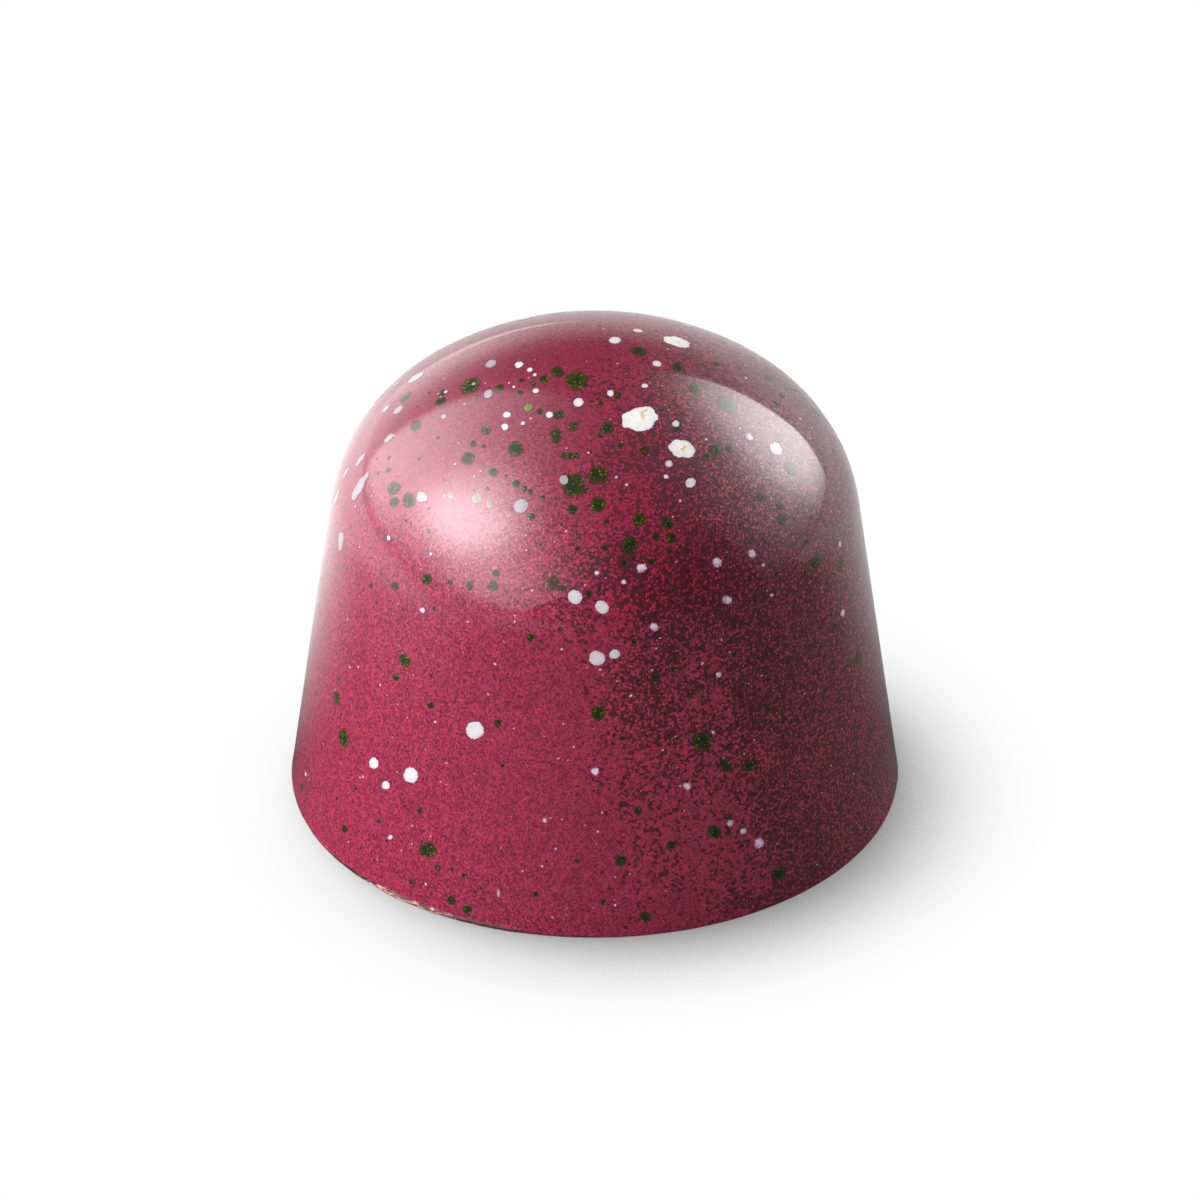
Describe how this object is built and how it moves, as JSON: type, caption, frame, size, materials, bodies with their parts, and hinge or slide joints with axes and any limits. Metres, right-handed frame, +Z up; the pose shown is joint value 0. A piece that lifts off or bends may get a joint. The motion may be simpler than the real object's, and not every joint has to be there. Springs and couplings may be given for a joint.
{
  "type": "chocolate bonbon",
  "caption": "Moulded dome-topped chocolate bonbon with a glossy raspberry cocoa butter skin, speckled in white and dark green.",
  "frame": {"origin": "centre of the flat underside", "axes": "+Z up along the axis of the dome; the side seen in the picture faces -Y and its left is -X"},
  "size_m": [0.028, 0.028, 0.022],
  "materials": {
    "skin": "glossy pearlescent raspberry cocoa butter, finely sprayed over dark chocolate",
    "chocolate": "satin dark chocolate, scraped at the foot and underside",
    "white_drops": "glossy flush drops of white cocoa butter",
    "green_drops": "glossy flush drops of dark green cocoa butter with fine gold grain",
    "yellow_drops": "glossy flush swirls of yellow cocoa butter"
  },
  "bodies": {
    "root": {"bonbon": "skin"}
  },
  "joints": []
}
